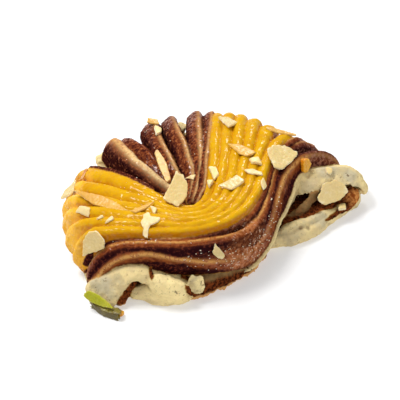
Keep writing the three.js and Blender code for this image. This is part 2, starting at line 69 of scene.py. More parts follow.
BROWN_UPPER = [
    (-52.5, -21.5, 5), (-50.5, -23.2, 12.5), (-47, -24.5, 19.3), (-41, -26.2, 24), (-33, -27.6, 25.9),
    (-27, -28.8, 26.3), (-16.5, -29.8, 26.6), (-10, -28.9, 26.8), (-6, -27.5, 27), (1, -24.4, 27.2),
    (7.5, -20.6, 27.3), (13, -16, 27.3), (16.5, -10.3, 27.3), (18.8, -3.3, 27.1), (20.8, 4.5, 27),
    (22.2, 12, 27), (25, 21.5, 26.7), (28.5, 29, 25.7), (32.5, 35, 24.3), (36.5, 40, 21.5), (40, 45, 14),
    (41, 46.5, 6),
]
BROWN_MIDDLE = [
    (-50.5, -27.5, 4), (-48.5, -28.2, 12.3), (-45.5, -29, 18.3), (-39, -29.6, 23.4), (-31.5, -30.3, 25.7),
    (-23, -31, 26.1), (-14.5, -31.5, 26.6), (-6, -29.8, 26.1), (0.5, -28, 25.7), (7, -25.5, 25.4),
    (13, -21, 25), (17, -15.5, 25), (19.8, -9, 25), (21.5, -2.2, 25), (23.4, 7.5, 25), (25.3, 15.5, 25),
    (30.5, 30, 24), (34.5, 34.8, 22.5), (38.5, 38.5, 20.5), (42.5, 41, 16.5), (45.5, 43, 10), (46.5, 44, 5),
]
# the outermost strand, as its top edge, the ridge below it and its lower rim
OUTER_BAND = [
    ((-48, -33, 9), (-47, -33.8, 8), (-47, -33, 6)),
    ((-45.5, -32, 12), (-44.5, -33, 11), (-44, -32.5, 8.5)),
    ((-42, -32, 16.6), (-41.5, -33, 15.2), (-40, -31.5, 11)),
    ((-36.5, -32, 21), (-35.5, -33, 19.9), (-34.5, -31.5, 14)),
    ((-28, -32.2, 23.4), (-27, -33.2, 22.2), (-27.5, -31.7, 14.5)),
    ((-20.5, -32.2, 23), (-21, -33.2, 21.4), (-21.5, -31.5, 12.5)),
    ((-13.5, -32.4, 21.7), (-14.5, -33.4, 20), (-16, -32, 11)),
    ((-6, -31.8, 20.8), (-6.5, -33, 18.3), (-8, -31, 10)),
    ((0, -30.5, 20.2), (0.5, -31.8, 17.2), (1, -30, 10)),
    ((5.5, -28.5, 20), (7, -29.2, 15.6), (9, -26.8, 8.2)),
    ((10, -24.5, 20), (13, -24.8, 14.8), (15, -22, 7)),
    ((14.5, -19, 20), (17, -19.5, 14.5), (19.5, -16.5, 7.5)),
    ((18, -13.5, 20.8), (20.3, -14.5, 16), (23, -10.5, 9.5)),
    ((20.5, -7.5, 21.8), (22.5, -9, 18), (25, -4, 12)),
    ((22.5, -0.5, 22.8), (24.5, -2.5, 20.5), (28, 2, 13)),
    ((25, 6, 24), (26.5, 5, 22.8), (30, 6.5, 14.5)),
    ((27.5, 13.5, 25), (28.8, 12, 24.2), (32, 12, 16)),
    ((31, 19.5, 25.3), (32.3, 18.3, 24.3), (33.5, 17.5, 17)),
    ((35, 24, 25), (36, 23, 24), (37, 22, 18)),
    ((39.5, 27.5, 24), (40.3, 26.5, 23), (41, 26, 17)),
    ((44, 30.5, 22), (44.4, 29.4, 21), (45.5, 28.5, 15.5)),
    ((48.5, 32.5, 19), (48.5, 31.3, 18), (49, 31, 13.5)),
    ((51.5, 34, 15), (51.5, 33, 14), (52, 33, 10.5)),
    ((53.5, 35.5, 10), (53.7, 34.5, 9), (53.5, 35, 6)),
]
# strands of the inner, brown part of the fan: x, y, z of the crest and half width; below them, where
# each one's pale line lies across it and how wide that line is
INNER_BROWNS = [
    [(-47, 47, 8, 3.2), (-44.5, 43.5, 16.5, 3.4), (-41.8, 39, 21.5, 3.4), (-37.8, 29.5, 25, 3.2),
     (-33, 20.5, 26.3, 3), (-27.8, 14.5, 25.7, 2.9), (-22.7, 10.5, 23.7, 2.8), (-17.6, 7.5, 21.5, 2.6),
     (-13.6, 3, 20, 2.4)],
    [(-40.4, 48.5, 8, 4), (-39.2, 46.2, 15.6, 4.6), (-36.2, 39.8, 20.4, 4.8), (-31, 31.6, 22.6, 4.4),
     (-26.6, 24.2, 22.8, 3.9), (-23, 18.4, 22, 3.2), (-19.6, 13.8, 20.8, 2.8), (-15.6, 8.3, 19.2, 2.5)],
    [(-29.3, 62, 9, 3.8), (-27.2, 55.5, 18.6, 4.2), (-24.2, 40, 23.2, 3.3), (-20.8, 28, 24.8, 3.1),
     (-18, 19.5, 24.6, 3.1), (-14.9, 14, 22.5, 2.7), (-12.5, 7, 20, 2.3)],
    [(-20, 65.5, 9, 2.8), (-19.3, 60, 18.2, 3.2), (-16.6, 43.5, 24.3, 3.3), (-13.6, 31.5, 25.8, 3.2),
     (-11.6, 23.3, 25, 3), (-10, 17, 23.4, 2.7), (-9.6, 11, 21.7, 2.4), (-10.4, 3, 20, 2.2)],
    [(-8.2, 68, 10, 3), (-8, 61.2, 20, 3.5), (-7.7, 44.5, 24.7, 3.5), (-7, 30, 26.3, 3.2),
     (-6.5, 20, 25.4, 2.8), (-6.8, 13.7, 23.4, 2.5), (-8, 7.5, 21.7, 2.3), (-9.6, 0, 20, 2.1)],
    [(-1.4, 66.5, 10, 2), (-1.5, 60.8, 20, 2.3), (-2.1, 44, 25, 2.2), (-3.1, 29, 26.7, 2.1),
     (-3.8, 19, 26.2, 2), (-3.9, 11, 25.3, 1.9), (-5, 5, 23.7, 1.8), (-7.7, -2, 21, 1.7)],
]
INNER_RIDGES = [(-0.25, 0.5), (-2, 0.2), (-0.5, 0.25), (-0.5, 0.25), (-0.5, 0.25), (-0.4, 0.25)]
# level outlines: the sheet on the board, the dough under the strands' ends and that under their middle
SHEET_OUTLINE = [
    (-44, -36), (-39, -38.5), (-36, -36), (-33, -34.5), (-28.5, -36), (-23.5, -39), (-16, -39.3),
    (-10.5, -37), (-5, -32.5), (3, -26), (11, -20.5), (18, -12), (22.5, -6.8), (28, -5.6), (33, -4.2),
    (38.5, -1.4), (44.5, 3.6), (51, 11.4), (56.5, 16.5), (61, 21), (61, 26), (57, 34), (51, 42), (42, 47),
    (34, 50), (24, 56), (13, 60), (2, 63), (-8, 67), (-18, 62), (-26, 58), (-27, 46), (-26, 34),
    (-33, 38), (-40, 45), (-48, 44), (-53, 34), (-58, 18), (-59, 4), (-56, -8), (-52, -20), (-49, -30),
]
SKIRT_OUTLINE = [
    (-43, -32), (-30, -33), (-15, -34), (-4, -32), (5, -26), (13, -20), (19, -10), (22, -5), (25, 3),
    (31, 15), (39, 26), (49, 36), (43, 42), (33, 45), (22, 52), (10, 57), (0, 59), (-8, 61),
    (-17, 57), (-23, 51), (-23, 42), (-24, 31), (-31, 34), (-39, 39), (-44, 37), (-50, 28),
    (-54, 16), (-55, 4), (-52, -8), (-48, -20), (-46, -28),
]
HEART_OUTLINE = [
    (-40, -24), (-28, -28), (-15, -29), (-2, -27), (8, -20), (15, -11), (20, 2), (25, 15),
    (30, 26), (26, 34), (18, 40), (8, 44), (-2, 45), (-12, 42), (-17, 36), (-19, 24), (-22, 17),
    (-32, 22), (-38, 17), (-44, 6), (-45, -6), (-43, -17),
]
# folds of the sheet: x, y, z of a point on the upper edge and of the one below it on the lower edge
LEFT_FOLD = [
    (-49.5, -32, 6, -49, -33.5, 1), (-47.5, -33.8, 9, -46.5, -36.5, 0.3),
    (-43.5, -34.2, 10.8, -42.8, -40.2, 0.3), (-39.4, -34, 13, -39.6, -41.8, 0.5),
    (-36.4, -34.2, 14.8, -37, -39, 4.2), (-33, -34.4, 16, -33.8, -37.4, 8.7),
    (-29.5, -34.6, 16.4, -31, -37, 11.5), (-26, -34.6, 15.6, -28, -37, 10.6),
    (-23, -34.2, 13.4, -24.5, -35.6, 8), (-18.5, -33.8, 10.8, -18.5, -34.8, 4.5),
    (-14.5, -33.8, 9.4, -14.7, -35, 3.5), (-10, -34, 8, -10, -35, 2.5), (-7.5, -34, 7, -7, -35, 3),
]
RIGHT_FOLD = [
    (28.5, 8, 15.5, 27.5, 5, 6), (33.5, 17, 17, 32, 14, 8.5), (37, 21.3, 18.3, 34.3, 14, 11),
    (41, 22.5, 19, 38, 14, 12.2), (45.5, 23.3, 19, 42.5, 15, 12.8), (49.5, 24.5, 18.5, 46.5, 16.5, 12.8),
    (53, 25.6, 18, 50.5, 16.8, 12.8), (57, 26.5, 16.8, 54.8, 17.5, 13), (60.3, 25.5, 14.5, 58.8, 19, 12),
    (62.2, 24.5, 12, 61.3, 20, 9.2), (63, 25.5, 9, 62.8, 22, 6), (62.3, 30, 7.5, 63, 26.5, 2),
]
# the wall of filling below the bend, in the same way
UNDER_BAND = [
    (-9, -34.5, 9, -9, -35.5, 0.4), (-4, -32.8, 9.3, -4, -34, 0.4), (1, -30.2, 9, 1, -31.3, 0.4),
    (5.5, -27.6, 8, 5.5, -28, 0.4), (10, -24.6, 7, 10, -24.2, 0.4), (14, -21.6, 6.5, 14, -20.6, 0.4),
    (17, -18, 6.8, 17, -16.6, 0.4), (20, -13.5, 8, 20, -11, 0.4), (22, -9, 9, 22, -6.5, 0.4),
]
# a torn scrap of sheet that stands in front, below the left end of the bend
SCRAP = [
    (-10.4, -35.6, 10.4, -10, -36.4, 6.8), (-8.9, -35.4, 13.8, -8.4, -36.6, 5.6),
    (-6.7, -35, 12.6, -6.3, -36.4, 4.4), (-5, -34.6, 12.8, -4.8, -35.9, 4.2),
    (-4, -34, 10, -3.8, -35, 5.4),
]
# the floor of dark filling in the hollow below the right fold
LOBE_FLOOR = [
    (26, 0.5), (29, -0.5), (33, 1), (38, 3.8), (43.5, 8), (50, 13.5), (55, 17), (59, 20.5), (59.5, 27),
    (54, 34), (45, 36), (36, 28), (30, 16), (26, 7),
]

# ---- rolls ----
# rows of x, y, z and radius along the middle of each
LOBE_CURL = [  # a strip of filling curled up in the hollow at the right
    (30, 6.5, 7.2, 1.6), (34.5, 8, 8.6, 2.2), (38, 11, 10, 2.4), (41, 14.5, 11.2, 2.2), (44, 18, 12.2, 1.6),
]
LOBE_EDGE = [  # the sheet's edge in front of that hollow
    (25.5, -2.5, 6.2, 1.4), (29.5, -0.6, 6.6, 1.9), (34, 1.6, 6.7, 2), (39, 4.6, 6.4, 1.8),
    (44, 8.4, 6, 1.6), (49, 12, 5.6, 1.2),
]
LOW_ROLL = [  # the sheet's edge in front, below the left arch
    (-32.3, -36.6, 2.6, 1.6), (-29.5, -35.6, 4, 3.4), (-25, -35.4, 4.8, 4), (-19.5, -36.6, 4, 3.6),
    (-14, -37, 3.4, 3.2), (-8.5, -36, 3, 2.6),
]
PILLOW = [  # the swollen sheet above that edge
    (-25.3, -35.8, 12.2, 3.4), (-22, -36.4, 10.4, 4.5), (-18, -37, 8.5, 4.7), (-14, -37.2, 7.2, 4.6),
    (-10, -36.6, 6, 3.8),
]
# the thin edge of sheet that runs along the lower rim of the outermost strand
RIM = [(*point, 0.8) for point in (
    (11, -26.6, 6.6), (15.7, -22.4, 6.2), (20, -16.7, 7.8), (23.6, -10.5, 9.8), (25.8, -4, 12.2),
    (28.6, 2, 13.3), (30.6, 6.5, 14.7), (32.4, 12, 16.2), (33.6, 17.4, 17.3), (37, 21.8, 18.3),
)]
BROWN_THREAD = [  # the thin brown edge of the innermost yellow strand at the left
    (-52, 30.5, 11, 0.7), (-50.2, 26.8, 16.2, 0.9), (-44.6, 20.1, 20.8, 1), (-37.4, 13.3, 24, 1),
    (-30, 6.4, 25.6, 1), (-22.8, 1, 25.8, 0.8),
]
SEAM = [  # filling in the seam between the left fold and the sheet
    (-29.5, -35, 12, 1.7), (-32.3, -35, 8.8, 1.9), (-34.2, -36, 5.5, 1.9), (-35.8, -38, 3, 1.8),
    (-37.2, -40.4, 1.6, 1.5),
]
CRACK = [  # a crack across the crown of the left fold
    (-24.4, -33, 15.4, 0.35), (-24.4, -34.4, 15, 0.5), (-24.2, -35.8, 14.6, 0.55),
    (-23.9, -37, 13.6, 0.5), (-23.9, -37.6, 12.4, 0.35),
]
SQUEEZED = [  # filling squeezed out beside the scrap
    (-11.2, -37.6, 10.4, 0.4), (-10, -38.4, 8.4, 0.8), (-8.6, -38.6, 6.4, 0.9), (-6.8, -38, 4.6, 0.6),
]
END_FILLING = [  # filling that spills out of the right end
    (46.6, 18.6, 7.6, 2.3), (51.6, 19, 7.8, 3.4), (56, 19.8, 7.2, 3.8), (59.4, 22, 5.6, 2.8),
]
END_CRUMBS = [  # what of it lies along the sheet's edge
    (45, 5.6, 5.4, 0.5), (49.5, 10, 5, 0.9), (53.5, 14, 5, 1.4), (57, 17.6, 5, 1.9), (59.6, 21, 4.8, 1.5),
]
# scraps of the sheet between the ends of the strands at the back
LEFT_SCRAP = [(-48.5, 42, 5, 2), (-47, 45, 6.6, 2.5), (-45, 48, 5, 2)]
BACK_SCRAP = [(-15, 61, 7, 2.2), (-14, 63, 9, 2.6), (-13, 64, 8, 2)]

# ---- places on the crust ----
# the sugared bend, whose sugar also carries painted glints, and the crumbly filling at the right end
BEND = (13, -23, 17)
OPEN_END = (57.5, 19, 7)
# with a radius: grey patches, brown stains and spots of painted light on the sheet's front
GREYED = [((-44, -35, 9), 6), ((-39.5, -37, 5), 4.5), ((46, 23, 18), 6), ((56, 22, 16), 4), ((42, 7, 6), 6)]
STAINS = [((34.7, 0.7, 6), 2.2), ((37.9, 0.9, 5), 1.8), ((42.5, 8.8, 6.5), 2.4), ((-45.5, -35, 11), 1.6)]
PAINTED_LIGHT_SPOTS = [((-17, -37.5, 8), 11), ((-4.5, -36, 9), 5)]
# painted light: the tips of the yellow strands at the left made paler, against the key light's shade on
# them
LIT_LEFT_TIPS = [(-57.5, 16, 15), (-58.5, 4, 14), (-55.5, -8, 14), (-52.5, -17, 13)]
# with a share: the darker ends of the brown strands
DARK_ENDS = [((47, 32, 20), 0.65), ((-17, 58, 19), 0.5)]

# ---- sizes ----
YELLOW_STRANDS = 6
STRAND_DEPTH = 13  # from a strand's crest down to where its walls end
TIP_DEPTH = 7  # the same at its tips
TIP_LENGTH = 14  # how far from a tip it has its full depth
END_ROUNDING = 3  # how far from a tip its crest starts to curl over
SHEET_THICKNESS = 6
SKIRT_HEIGHT = 9
HEART_HEIGHT = 19
LOBE_FLOOR_HEIGHT = 7.6
FILLING_BOTTOM = 0.5  # the filling starts a little above the sheet's underside
FOLD_DEPTH = 9
# how fine the lofts are, and the squares of the fused skin
STEPS = 8  # between one row of a guide line and the next
RING_SPACING = 0.7  # along a strand
CREST_POINTS = 17  # across a strand's crest
WALL_POINTS = 6  # down each of its walls
FOLD_FACE_POINTS = 12
FOLD_BACK_POINTS = 5
TUBE_SIDES = 16
VOXEL = 0.42
# how high the broad lumps and the fine grain of each kind of dough stand
RELIEF = np.array([[0.18, 0.15], [0.18, 0.13], [0.28, 0.16], [0.5, 0.4]])
GRAINS_AT_BEND = 110
GRAINS_ON_TOP = 60
# a slab's rounded edge: how far up and how far in, as shares of its height and of SLAB_ROUNDING
SLAB_ROUNDING = 1.4
SLAB_EDGE = ((0, 1), (0.12, 0.35), (0.35, 0), (0.65, 0.1), (0.88, 0.45), (1, 1))
# what each point of the lofts tells the crust's colours: pale ridge (partly a paler dough layer, partly
# painted highlight), dark flank (partly darker dough, partly painted shade), toasted, grey or speckled,
# and where it is across and along its strand
MARKS = ("pale", "dark", "toasted", "grey", "across", "along")


# ---- lines and shells ----
def spline(rows, steps=STEPS, closed=False):
    """Smooth lines through rows (N, ...) of points."""
    rows = np.array(rows, float)
    if closed:
        rows = np.concatenate([rows[-1:], rows, rows[:2]])
    else:
        rows = np.concatenate([2 * rows[:1] - rows[1:2], rows, 2 * rows[-1:] - rows[-2:-1]])
    t = np.linspace(0, 1, steps + 1)[:-1].reshape((-1,) + (1,) * (rows.ndim - 1))
    out = []
    for a, b, c, d in zip(rows, rows[1:], rows[2:], rows[3:]):
        square = 2 * a - 5 * b + 4 * c - d
        cube = 3 * b - a - 3 * c + d
        out.append(0.5 * (2 * b + (c - a) * t + square * t**2 + cube * t**3))
    return np.concatenate(out + ([] if closed else [rows[-2:-1]]))


def distance_along(line):
    return np.concatenate([[0], np.cumsum(norm(np.diff(line[:, :3], axis=0), axis=1))])


def evenly(line, spacing):
    """The line's points (N, K) re-spaced evenly, and their distance along it."""
    run = distance_along(line)
    at = np.linspace(0, run[-1], max(8, int(run[-1] / spacing)))
    return np.stack([np.interp(at, run, line[:, k]) for k in range(line.shape[1])], 1), at


def unit(rows):
    return rows / np.maximum(norm(rows, axis=1)[:, None], 1e-9)


def outward_of(line):
    """Level unit vectors square to the line, on the side that faces out of the fan's elbow."""
    along = unit(np.gradient(line[:, :2], axis=0))
    return np.column_stack([along[:, 1], -along[:, 0], np.zeros(len(line))])


def upward_of(line):
    """Vectors square to the line that point as far up as they can; they turn slowly along it."""
    ahead = np.gradient(line[:, :3], axis=0)
    window = np.ones(7) / 7
    ahead = unit(np.stack([np.convolve(np.pad(a, 3, mode="edge"), window, "valid") for a in ahead.T], 1))
    return unit([0, 0, 1] - ahead * ahead[:, 2:])


def ramp(value, low, high):
    """0 at low and 1 at high, with an easy start and end."""
    t = np.clip((value - low) / (high - low), 0, 1)
    return t * t * (3 - 2 * t)


def wobble(x, seed, scale):
    return noise.noise(Vector((x / scale, seed * 7.31, 0)))


def mark_rows(count, **values):
    """The MARKS of so many points; those that are not given are 0."""
    rows = np.zeros((count, len(MARKS)))
    for name, value in values.items():
        rows[:, MARKS.index(name)] = value
    return rows


class Shell:
    """Closed lofts that are fused later, with the kind of dough and the MARKS of each point."""

    def __init__(self):
        self.points, self.faces, self.kinds, self.marks = [], [], [], []
        self.size = 0

    def loft(self, rings, kind, marks, flip=False):
        """Joins rings (R, M, 3) to a skin with flat ends. flip: the rings run the other way round."""
        rings, marks = (np.array(rows)[:, ::-1 if flip else 1] for rows in (rings, marks))
        count, side = rings.shape[:2]
        index = np.arange(count * side).reshape(count, side) + self.size
        ahead = np.roll(index, -1, axis=1)
        quads = np.stack([index[:-1], index[1:], ahead[1:], ahead[:-1]], -1).reshape(-1, 4)
        self.faces += quads.tolist() + [index[0].tolist(), index[-1][::-1].tolist()]
        self.points.append(rings.reshape(-1, 3))
        self.marks.append(marks.reshape(-1, len(MARKS)))
        self.kinds.append(np.full(count * side, kind))
        self.size += count * side


def crest_profile(round_crest):
    """Across (1 is the outer side) and drop below the crest, both in half widths."""
    angle = np.linspace(0, math.pi, CREST_POINTS)
    u = np.sign(np.cos(angle)) * np.abs(np.cos(angle)) ** 0.8
    if round_crest:
        return u, 1.15 * (1 - np.sqrt(np.maximum(0, 1 - np.abs(u) ** 2.4)))
    inner = np.maximum(0, (-0.45 - u) / 0.55)
    outer = np.maximum(0, (u + 0.45) / 1.45)
    return u, 0.55 * inner**2 + outer**1.8


def add_strand(shell, crest, kind, seed, half_width=None, rounded=(True, True), ridge=(-0.42, 0.27),
               bleach=0, speckle=0):
    """A wall of dough with a swelling crest that curls over at its ends.

    crest rows are x, y, z or x, y, z, half width. ridge is where the pale line lies and how wide it is.
    bleach is how cream-coloured that line becomes towards the end of the strand.
    """
    line = spline(crest)
    if half_width is not None:
        line = np.column_stack([line, np.full(len(line), half_width)])
    line, run = evenly(line, RING_SPACING)
    out = outward_of(line)
    up = upward_of(line)
    total = run[-1]
    top_u, top_drop = crest_profile(kind == YELLOW)
    u = np.concatenate([np.full(WALL_POINTS, 1), top_u, np.full(WALL_POINTS, -1)])
    rings, marks = [], []
    for i, (x, y, z, half) in enumerate(line):
        near = min(run[i] if rounded[0] else total, total - run[i] if rounded[1] else total)
        shrink = math.sqrt(max(0.12, 1 - (1 - min(1, near / END_ROUNDING)) ** 2))
        swelling = 1 + 0.07 * wobble(run[i], seed, 7) + 0.05 * wobble(run[i], seed + 50, 2.3)
        lift = 0.5 * wobble(run[i], seed + 20, 9) + 0.22 * wobble(run[i], seed + 90, 2.7)
        side = 0.3 * wobble(run[i], seed + 40, 8)
        depth_share = min(1, run[i] / TIP_LENGTH, (total - run[i]) / TIP_LENGTH)
        reach = TIP_DEPTH + (STRAND_DEPTH - TIP_DEPTH) * depth_share
        outer, inner = (np.linspace(top_drop[k] * half, reach, WALL_POINTS + 1)[1:] for k in (0, -1))
        drop = np.concatenate([outer[::-1], top_drop * half, inner])
        fall = drop - lift * shrink + (1 - shrink) * 1.5
        reach_out = u * (half * shrink * swelling) + side
        ring = [x, y, z] + out[i] * reach_out[:, None] - up[i] * fall[:, None]
        ring[:, 2] = np.maximum(ring[:, 2], 0.8)
        rings.append(ring)
        # the pale line: partly a paler dough layer, partly a painted highlight along the crest
        pale = np.exp(-(((u - ridge[0]) / ridge[1]) ** 2)) * ramp(drop, half * 1.2, half * 0.8)
        if kind == YELLOW:
            toast = 1 - ramp(near, 1, 15)
            # painted shade: the yellow strand darkens to its crest's edges and down its walls, less near
            # its tips
            dark = np.maximum(ramp(np.abs(u), 0.7, 1), ramp(drop, half * 1.3, half * 2.8))
            dark *= ramp(near, 1, 11)
        else:
            toast = bleach * ramp(run[i] / total, 0.1, 0.8)
            # the darker cocoa of the sides, with painted shade further down the walls
            dark = np.maximum(ramp(u, 0.4, 1), ramp(drop, half, half * 1.6))
            dark = np.maximum(dark, ramp(-u, 0.82, 1))
        marks.append(mark_rows(
            len(u), pale=pale, dark=dark, toasted=toast, grey=speckle, across=u, along=run[i]))
    shell.loft(rings, kind, marks)


def yellow_crests():
    """The yellow strands' crests with half widths: each strand fills the room to its neighbours."""
    inner, middle, outer = (np.array(g, float) for g in (YELLOW_INNER, YELLOW_MIDDLE, YELLOW_OUTER))
    lines = []
    for i in range(YELLOW_STRANDS):
        p = i / (YELLOW_STRANDS - 1)
        lines.append(inner * (1 - p) * (1 - 2 * p) + middle * 4 * p * (1 - p) + outer * p * (2 * p - 1))
    dense = [spline(line) for line in lines]
    crests = []
    for i, line in enumerate(lines):
        gaps = []
        for j in (i - 1, i + 1):
            if 0 <= j < YELLOW_STRANDS:
                apart = norm(line[:, None, :2] - dense[j][None, :, :2], axis=2)
                gaps.append(apart.min(1))
        half = np.clip(0.5 * np.mean(gaps, axis=0) * 1.04, 1.5, 4.4)
        if i == YELLOW_STRANDS - 1:
            half = np.minimum(half, 2.8)
        crests.append(np.column_stack([line, half]))
    return crests


def add_band(shell, rows, kind, seed):
    """The outermost strand: its face runs from the top edge over the ridge down to the rim."""
    lines = spline(rows)
    top = lines[:, 0]
    run = distance_along(top)
    inward = -outward_of(top)
    rings, marks = [], []
    for i, (a, b, c) in enumerate(lines):
        close = 1 - ramp(min(run[i], run[-1] - run[i]), 0, 3)
        push = 0.35 * wobble(run[i], seed, 6) + 0.15 * wobble(run[i], seed + 9, 2.2)
        middle = (a + c) / 2
        a, b, c = (p + (middle - p) * 0.6 * close for p in (a, b, c))
        face = spline([
            a + inward[i] * 2.6 - [0, 0, 3.5],
            a + inward[i] * 1.3 - [0, 0, 0.6],
            a,
            b - inward[i] * push,
            b * 0.45 + c * 0.55 - inward[i] * (0.3 + push),
            c,
            c + inward[i] * 2 - [0, 0, 0.6],
        ], 5)
        base = [c + inward[i] * 6 - [0, 0, 1], a + inward[i] * 6 - [0, 0, 6]]
        ring = np.vstack([face, base])
        ring[:, 2] = np.maximum(ring[:, 2], 0.6)
        rings.append(ring)
        v = np.concatenate([np.linspace(-1, 5, len(face)), [6, 6]])  # 1, 2 and 4 at a, b and c
        below = norm(ring - b, axis=1) * np.where(v < 2, -1, 1)
        steep = ramp(norm(a - b), 2.5, 4.5)
        # the pale line at the ridge: partly paler dough, partly painted highlight, less where the face is
        # steep
        pale = np.exp(-((below / np.where(below < 0, 0.8, 1)) ** 2)) * (1 - 0.5 * steep)
        # the band's flanks: partly darker cocoa, partly painted shade below and above the ridge
        lower = ramp(below, 2.4 + 2 * steep, 5 + 3 * steep)
        upper = ramp(-below, 0.9, 2) * (1 - 0.9 * steep)
        marks.append(mark_rows(
            len(v), pale=pale, dark=np.maximum(lower, upper), across=v / 2 - 1.4, along=run[i]))
    shell.loft(rings, kind, marks, flip=True)


def add_slab(shell, outline, bottom, top, kind, seed, ripple=0.5):
    """A flat piece of dough with a rounded, slightly wavy edge."""
    line = spline(outline, closed=True)
    count = len(line)
    along = unit(np.roll(line, -1, axis=0) - np.roll(line, 1, axis=0))
    outward = np.stack([along[:, 1], -along[:, 0]], 1)
    wave = np.array([ripple * noise.noise(Vector((x / 5, y / 5, seed))) for x, y in line])
    rings = []
    for level, inset in SLAB_EDGE:
        xy = line + outward * (wave - SLAB_ROUNDING * inset)[:, None]
        rings.append(np.column_stack([xy, np.full(count, bottom + (top - bottom) * level)]))
    marks = [mark_rows(count, along=np.arange(count))] * len(SLAB_EDGE)
    shell.loft(rings[::-1], kind, marks)


def add_fold(shell, rows, kind, seed, swell, ripple=0.5, grey=0, roof_fall=0):
    """A fold of the sheet: its face bulges between its two edges and it runs in underneath."""
    lines = spline(rows)
    top, low = lines[:, :3], lines[:, 3:]
    run = distance_along(top)
    inward = -outward_of((top + low) / 2)
    face = np.linspace(0, 1, FOLD_FACE_POINTS)
    floor_in = np.linspace(1.2, FOLD_DEPTH, FOLD_BACK_POINTS)
    roof_in = np.linspace(FOLD_DEPTH, 0.8, FOLD_BACK_POINTS)
    v = np.concatenate([face, np.ones(FOLD_BACK_POINTS), np.zeros(FOLD_BACK_POINTS)])
    rings, marks = [], []
    for i in range(len(lines)):
        bulge = swell * np.sin(math.pi * face) ** 0.7 * (1 + 0.35 * wobble(run[i], seed, 4))
        waves = np.array([ripple * noise.noise(Vector((run[i] / 3.5, f * 2.5, seed))) for f in face])
        outer = top[i] + (low[i] - top[i]) * face[:, None] - inward[i] * (bulge + waves)[:, None]
        floor = low[i] + inward[i] * floor_in[:, None] + [0, 0, 0.8]
        roof = top[i] + inward[i] * roof_in[:, None]
        roof[:, 2] -= roof_fall * roof_in
        ring = np.vstack([outer, floor, roof])
        ring[:, 2] = np.maximum(ring[:, 2], 0.2)
        rings.append(ring)
        marks.append(mark_rows(len(v), dark=v, grey=grey * ramp(v, 0.3, 0), across=v, along=run[i]))
    shell.loft(rings, kind, marks, flip=True)


def add_tube(shell, path, kind, seed, flat=1, rough=0.12, grey=0, dark=0):
    """A rounded, uneven roll along a path of x, y, z and radius."""
    line = spline(path)
    count = len(line)
    turns = [2 * math.pi * k / TUBE_SIDES for k in range(TUBE_SIDES)]
    rings = []
    for i, (x, y, z, radius) in enumerate(line):
        t = i / (count - 1)
        radius *= math.sqrt(max(0.03, 1 - abs(2 * t - 1) ** 5))
        ahead = line[min(i + 1, count - 1), :3] - line[max(i - 1, 0), :3]
        ahead /= norm(ahead)
        level = np.cross(ahead, [0, 0, 1])
        level /= norm(level)
        up = np.cross(level, ahead)
        ring = []
        for turn in turns:
            bump = 1 + rough * noise.noise(Vector((t * 4, 2 * math.cos(turn), 2 * math.sin(turn) + seed)))
            spoke = level * math.cos(turn) * flat + up * math.sin(turn)
            ring.append([x, y, z] + radius * bump * spoke)
        ring = np.array(ring)
        ring[:, 2] = np.maximum(ring[:, 2], 0.3)
        rings.append(ring)
    shell.loft(rings, kind, [mark_rows(TUBE_SIDES, dark=dark, grey=grey)] * count)


# ---- the fused pastry ----
def pastry_shell():
    """Everything that is baked together, as lofts that run into each other."""
    shell = Shell()
    for i, crest in enumerate(yellow_crests()):
        add_strand(shell, crest, YELLOW, seed=i)
    add_strand(shell, BROWN_UPPER, BROWN, seed=11, half_width=1.35, ridge=(-0.5, 0.22))
    add_strand(shell, BROWN_MIDDLE, BROWN, seed=12, half_width=1.75, ridge=(-0.3, 0.27))
    add_band(shell, OUTER_BAND, BROWN, seed=13)
    for i, (crest, ridge) in enumerate(zip(INNER_BROWNS, INNER_RIDGES)):
        bleach, speckle = (1, 0.6) if i == 0 else (0.4, 1)
        add_strand(shell, crest, BROWN, seed=20 + i, rounded=(True, False), ridge=ridge, bleach=bleach,
                   speckle=speckle)
    add_slab(shell, SHEET_OUTLINE, 0, SHEET_THICKNESS, CREAM, seed=1)
    add_slab(shell, SKIRT_OUTLINE, FILLING_BOTTOM, SKIRT_HEIGHT, FILLING, seed=2, ripple=0.8)
    add_slab(shell, HEART_OUTLINE, FILLING_BOTTOM, HEART_HEIGHT, FILLING, seed=3, ripple=0.3)
    add_fold(shell, LEFT_FOLD, CREAM, seed=4, swell=1.2)
    add_fold(shell, RIGHT_FOLD, CREAM, seed=5, swell=1.2, ripple=0.8, roof_fall=0.7)
    add_fold(shell, UNDER_BAND, FILLING, seed=6, swell=0.5, ripple=0.9, grey=1)
    add_slab(shell, LOBE_FLOOR, FILLING_BOTTOM, LOBE_FLOOR_HEIGHT, FILLING, seed=13, ripple=0.8)
    add_tube(shell, LOBE_CURL, FILLING, seed=14, flat=0.6, grey=0.8)
    add_tube(shell, LOW_ROLL, CREAM, seed=15, flat=0.7)
    add_fold(shell, SCRAP, CREAM, seed=16, swell=0.3, ripple=0.7, roof_fall=2)
    add_tube(shell, LOBE_EDGE, CREAM, seed=17, rough=0.35)
    add_tube(shell, RIM, CREAM, seed=7)
    add_tube(shell, BROWN_THREAD, BROWN, seed=21, rough=0.3, grey=0.6, dark=0.8)
    add_tube(shell, PILLOW, CREAM, seed=8, flat=0.7, rough=0.25)
    for path, kind, seed, rough in (
        (SEAM, FILLING, 9, 0.4), (CRACK, FILLING, 18, 0.6), (SQUEEZED, FILLING, 19, 0.8),
        (END_FILLING, FILLING, 10, 0.6), (END_CRUMBS, FILLING, 20, 0.6),
        (LEFT_SCRAP, CREAM, 11, 0.6), (BACK_SCRAP, CREAM, 12, 0.6),
    ):
        add_tube(shell, path, kind, seed, rough=rough)
    return shell


def new_object(name, data):
    made = bpy.data.objects.new(name, data)
    bpy.context.scene.collection.objects.link(made)
    return made


def mesh_from_arrays(name, points, faces):
    mesh = bpy.data.meshes.new(name)
    mesh.from_pydata(points.tolist(), [], faces)
    mesh.update()
    return mesh


